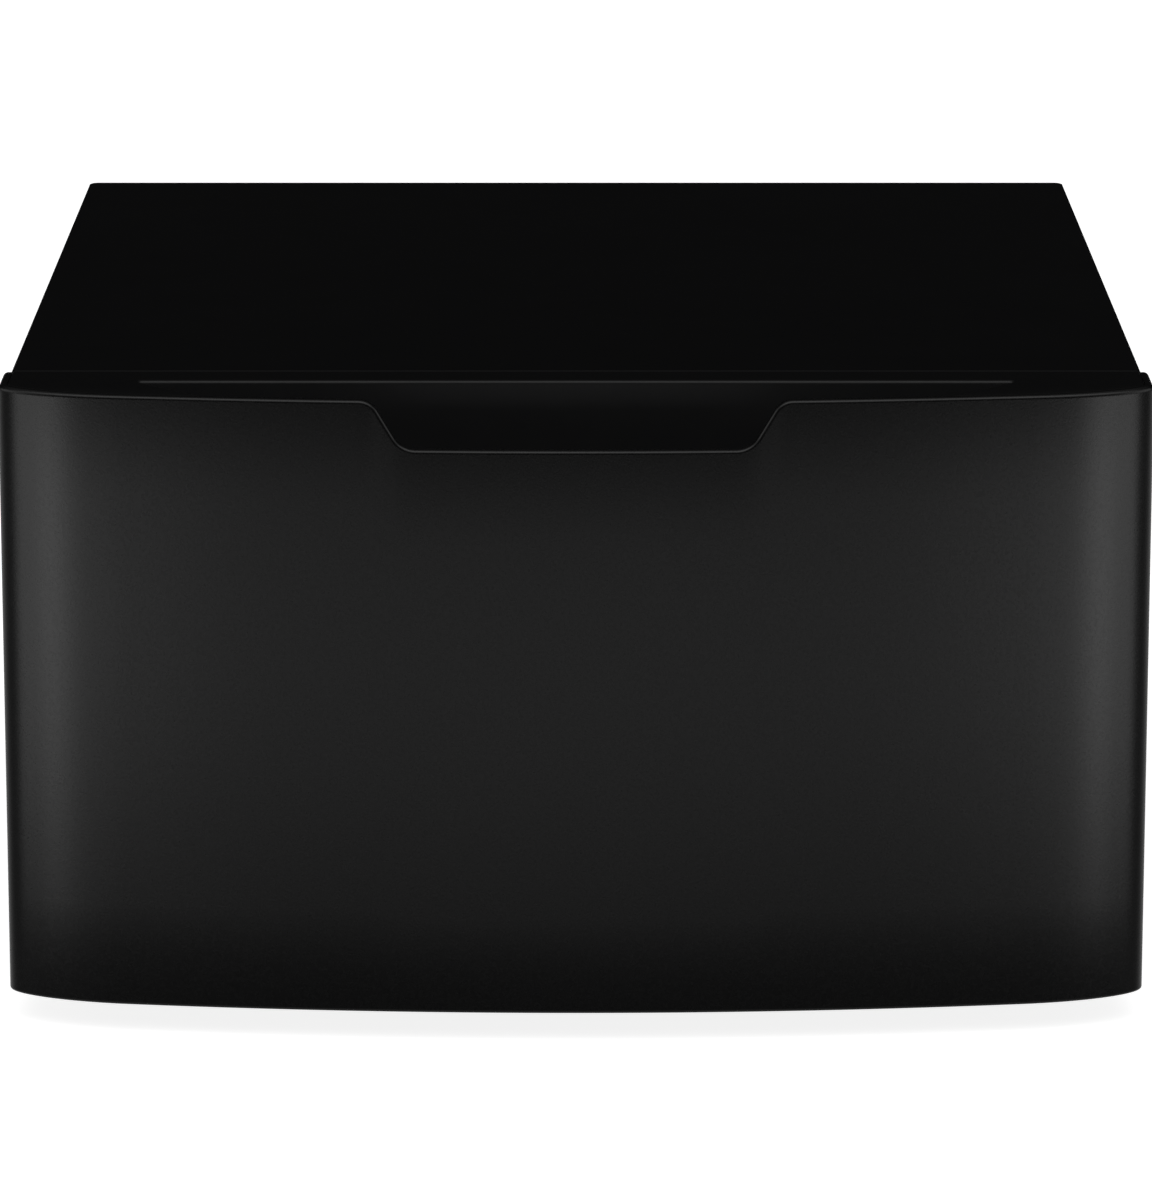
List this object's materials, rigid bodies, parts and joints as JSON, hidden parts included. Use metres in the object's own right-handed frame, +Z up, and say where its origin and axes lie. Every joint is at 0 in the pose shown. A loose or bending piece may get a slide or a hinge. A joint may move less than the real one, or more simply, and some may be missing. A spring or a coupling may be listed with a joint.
{
  "type": "laundry pedestal with storage drawer",
  "caption": "Low steel pedestal for a washer or dryer: a flat-topped cabinet on levelling feet with one full-width bow-fronted storage drawer and a notched finger pull.",
  "frame": {"origin": "on the floor, under the middle of the whole object with the drawer closed", "axes": "+Z up, -Y towards the drawer front and +X to the right of someone who faces it"},
  "size_m": [0.711, 0.781, 0.406],
  "materials": {
    "front_paint": "satin black powder coat with a fine grain",
    "cabinet_paint": "smooth satin black enamel",
    "cap_plastic": "fine satin moulded black",
    "box_paint": "satin grey paint",
    "galvanised": "galvanised sheet",
    "slide_zinc": "bright zinc plate",
    "fastener_zinc": "bright zinc plate",
    "lever_plastic": "matte black",
    "divider_plastic": "fine matte grey",
    "rubber": "matte black"
  },
  "bodies": {
    "cabinet": {"top_panel": "cabinet_paint", "side_panel_left": "cabinet_paint", "side_panel_right": "cabinet_paint", "back_panel": "galvanised", "front_top_rail": "cabinet_paint", "base_rail_front": "cabinet_paint", "base_rail_rear": "galvanised", "base_rail_left": "galvanised", "base_rail_right": "galvanised", "top_brace_front": "galvanised", "top_brace_middle": "galvanised", "top_brace_rear": "galvanised", "foot_plate_front_left": "fastener_zinc", "foot_plate_front_right": "fastener_zinc", "foot_plate_rear_left": "fastener_zinc", "foot_plate_rear_right": "fastener_zinc", "slide_bracket_left": "galvanised", "slide_bracket_right": "galvanised", "slide_outer_left": "slide_zinc", "slide_outer_right": "slide_zinc", "bumper_lower_left": "rubber", "bumper_lower_right": "rubber", "bumper_upper_left": "rubber", "bumper_upper_right": "rubber"},
    "drawer": {"front_skin": "front_paint", "handle_cap": "cap_plastic", "inner_front": "box_paint", "bottom_trim": "cap_plastic", "drawer_front_wall": "box_paint", "drawer_bottom": "box_paint", "drawer_side_left": "box_paint", "drawer_side_right": "box_paint", "drawer_back": "box_paint", "slide_inner_left": "slide_zinc", "slide_inner_right": "slide_zinc", "front_screw_lower_left": "fastener_zinc", "front_screw_lower_right": "fastener_zinc", "front_screw_upper_left": "fastener_zinc", "front_screw_upper_right": "fastener_zinc"},
    "middle_slide_left": {"slide_middle_left": "slide_zinc"},
    "outer_cage_left": {"ball_cage_outer_left": "galvanised"},
    "inner_cage_left": {"ball_cage_inner_left": "galvanised"},
    "release_lever_left": {"release_lever_left": "lever_plastic"},
    "middle_slide_right": {"slide_middle_right": "slide_zinc"},
    "outer_cage_right": {"ball_cage_outer_right": "galvanised"},
    "inner_cage_right": {"ball_cage_inner_right": "galvanised"},
    "release_lever_right": {"release_lever_right": "lever_plastic"},
    "divider": {"divider": "divider_plastic"},
    "foot_front_left": {"foot_pad_front_left": "rubber", "foot_stud_front_left": "fastener_zinc"},
    "nut_front_left": {"lock_nut_front_left": "fastener_zinc"},
    "foot_front_right": {"foot_pad_front_right": "rubber", "foot_stud_front_right": "fastener_zinc"},
    "nut_front_right": {"lock_nut_front_right": "fastener_zinc"},
    "foot_rear_left": {"foot_pad_rear_left": "rubber", "foot_stud_rear_left": "fastener_zinc"},
    "nut_rear_left": {"lock_nut_rear_left": "fastener_zinc"},
    "foot_rear_right": {"foot_pad_rear_right": "rubber", "foot_stud_rear_right": "fastener_zinc"},
    "nut_rear_right": {"lock_nut_rear_right": "fastener_zinc"}
  },
  "joints": [
    {"name": "drawer_slide", "type": "slide", "parent": "cabinet", "child": "drawer", "axis": [0, -1, 0], "range_m": [0, 0.508]},
    {"name": "middle_slide_left_travel", "type": "slide", "parent": "cabinet", "child": "middle_slide_left", "axis": [0, -1, 0], "range_m": [0, 0.254]},
    {"name": "outer_cage_left_travel", "type": "slide", "parent": "cabinet", "child": "outer_cage_left", "axis": [0, -1, 0], "range_m": [0, 0.127]},
    {"name": "inner_cage_left_travel", "type": "slide", "parent": "cabinet", "child": "inner_cage_left", "axis": [0, -1, 0], "range_m": [0, 0.381]},
    {"name": "release_lever_left_tilt", "type": "hinge", "parent": "drawer", "child": "release_lever_left", "pos_m": [-0.3218, 0.1745, 0.17], "axis": [1, 0, 0], "range_deg": [-5, 5], "stiffness_Nm_per_rad": 0.02},
    {"name": "middle_slide_right_travel", "type": "slide", "parent": "cabinet", "child": "middle_slide_right", "axis": [0, -1, 0], "range_m": [0, 0.254]},
    {"name": "outer_cage_right_travel", "type": "slide", "parent": "cabinet", "child": "outer_cage_right", "axis": [0, -1, 0], "range_m": [0, 0.127]},
    {"name": "inner_cage_right_travel", "type": "slide", "parent": "cabinet", "child": "inner_cage_right", "axis": [0, -1, 0], "range_m": [0, 0.381]},
    {"name": "release_lever_right_tilt", "type": "hinge", "parent": "drawer", "child": "release_lever_right", "pos_m": [0.3218, 0.1745, 0.17], "axis": [1, 0, 0], "range_deg": [-5, 5], "stiffness_Nm_per_rad": 0.02},
    {"name": "divider_slide", "type": "slide", "parent": "drawer", "child": "divider", "axis": [0, 1, 0], "range_m": [-0.2, 0.2]},
    {"name": "foot_front_left_height", "type": "slide", "parent": "cabinet", "child": "foot_front_left", "axis": [0, 0, -1], "range_m": [0, 0.02]},
    {"name": "nut_front_left_travel", "type": "slide", "parent": "cabinet", "child": "nut_front_left", "axis": [0, 0, -1], "range_m": [0, 0.005]},
    {"name": "foot_front_right_height", "type": "slide", "parent": "cabinet", "child": "foot_front_right", "axis": [0, 0, -1], "range_m": [0, 0.02]},
    {"name": "nut_front_right_travel", "type": "slide", "parent": "cabinet", "child": "nut_front_right", "axis": [0, 0, -1], "range_m": [0, 0.005]},
    {"name": "foot_rear_left_height", "type": "slide", "parent": "cabinet", "child": "foot_rear_left", "axis": [0, 0, -1], "range_m": [0, 0.02]},
    {"name": "nut_rear_left_travel", "type": "slide", "parent": "cabinet", "child": "nut_rear_left", "axis": [0, 0, -1], "range_m": [0, 0.005]},
    {"name": "foot_rear_right_height", "type": "slide", "parent": "cabinet", "child": "foot_rear_right", "axis": [0, 0, -1], "range_m": [0, 0.02]},
    {"name": "nut_rear_right_travel", "type": "slide", "parent": "cabinet", "child": "nut_rear_right", "axis": [0, 0, -1], "range_m": [0, 0.005]}
  ],
  "couplings": [
    {"joint": "middle_slide_left_travel", "follows": "drawer_slide", "ratio": 0.5},
    {"joint": "outer_cage_left_travel", "follows": "drawer_slide", "ratio": 0.25},
    {"joint": "inner_cage_left_travel", "follows": "drawer_slide", "ratio": 0.75},
    {"joint": "middle_slide_right_travel", "follows": "drawer_slide", "ratio": 0.5},
    {"joint": "outer_cage_right_travel", "follows": "drawer_slide", "ratio": 0.25},
    {"joint": "inner_cage_right_travel", "follows": "drawer_slide", "ratio": 0.75}
  ]
}
